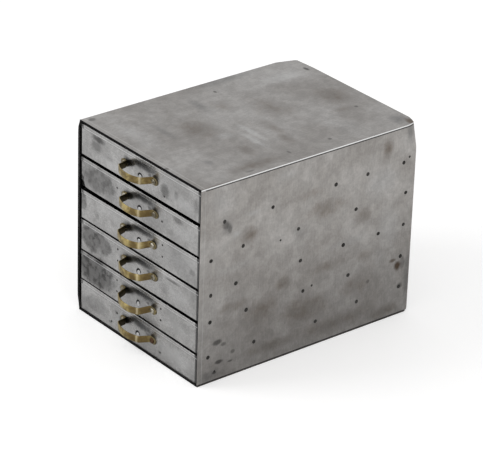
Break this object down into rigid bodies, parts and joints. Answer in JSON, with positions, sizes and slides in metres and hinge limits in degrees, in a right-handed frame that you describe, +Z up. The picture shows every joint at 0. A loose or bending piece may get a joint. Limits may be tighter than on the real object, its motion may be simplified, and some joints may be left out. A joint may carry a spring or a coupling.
{
  "type": "multi-drawer cabinet",
  "caption": "Tabletop cabinet of bare sheet steel with a stack of shallow full-width drawers on runners, each with a brass bow pull.",
  "frame": {"origin": "centre of the base face that the cabinet rests on", "axes": "+X to the right seen from the front, +Y from the drawer fronts to the back, +Z up"},
  "size_m": [0.283, 0.4145, 0.305],
  "materials": {
    "case_steel": "stripped and brushed, mottled",
    "runner_steel": "dull, unbrushed",
    "front_steel": "stripped and brushed, semi-gloss",
    "tray_steel": "dull",
    "pull_brass": "aged, satin",
    "screw_brass": "worn, satin",
    "nut_steel": "dull zinc"
  },
  "bodies": {
    "cabinet": {"top_panel": "case_steel", "bottom_panel": "case_steel", "left_side_panel": "case_steel", "right_side_panel": "case_steel", "back_panel": "case_steel", "runner_left_1": "runner_steel", "runner_right_1": "runner_steel", "runner_left_2": "runner_steel", "runner_right_2": "runner_steel", "runner_left_3": "runner_steel", "runner_right_3": "runner_steel", "runner_left_4": "runner_steel", "runner_right_4": "runner_steel", "runner_left_5": "runner_steel", "runner_right_5": "runner_steel"},
    "drawer_1": {"drawer_1_front": "front_steel", "drawer_1_tray": "tray_steel", "drawer_1_handle": "pull_brass", "drawer_1_screws": "screw_brass", "drawer_1_nuts": "nut_steel"},
    "drawer_2": {"drawer_2_front": "front_steel", "drawer_2_tray": "tray_steel", "drawer_2_handle": "pull_brass", "drawer_2_screws": "screw_brass", "drawer_2_nuts": "nut_steel"},
    "drawer_3": {"drawer_3_front": "front_steel", "drawer_3_tray": "tray_steel", "drawer_3_handle": "pull_brass", "drawer_3_screws": "screw_brass", "drawer_3_nuts": "nut_steel"},
    "drawer_4": {"drawer_4_front": "front_steel", "drawer_4_tray": "tray_steel", "drawer_4_handle": "pull_brass", "drawer_4_screws": "screw_brass", "drawer_4_nuts": "nut_steel"},
    "drawer_5": {"drawer_5_front": "front_steel", "drawer_5_tray": "tray_steel", "drawer_5_handle": "pull_brass", "drawer_5_screws": "screw_brass", "drawer_5_nuts": "nut_steel"},
    "drawer_6": {"drawer_6_front": "front_steel", "drawer_6_tray": "tray_steel", "drawer_6_handle": "pull_brass", "drawer_6_screws": "screw_brass", "drawer_6_nuts": "nut_steel"}
  },
  "joints": [
    {"name": "drawer_1_slide", "type": "slide", "parent": "cabinet", "child": "drawer_1", "axis": [0, -1, 0], "range_m": [0, 0.33]},
    {"name": "drawer_2_slide", "type": "slide", "parent": "cabinet", "child": "drawer_2", "axis": [0, -1, 0], "range_m": [0, 0.33]},
    {"name": "drawer_3_slide", "type": "slide", "parent": "cabinet", "child": "drawer_3", "axis": [0, -1, 0], "range_m": [0, 0.33]},
    {"name": "drawer_4_slide", "type": "slide", "parent": "cabinet", "child": "drawer_4", "axis": [0, -1, 0], "range_m": [0, 0.33]},
    {"name": "drawer_5_slide", "type": "slide", "parent": "cabinet", "child": "drawer_5", "axis": [0, -1, 0], "range_m": [0, 0.33]},
    {"name": "drawer_6_slide", "type": "slide", "parent": "cabinet", "child": "drawer_6", "axis": [0, -1, 0], "range_m": [0, 0.33]}
  ]
}
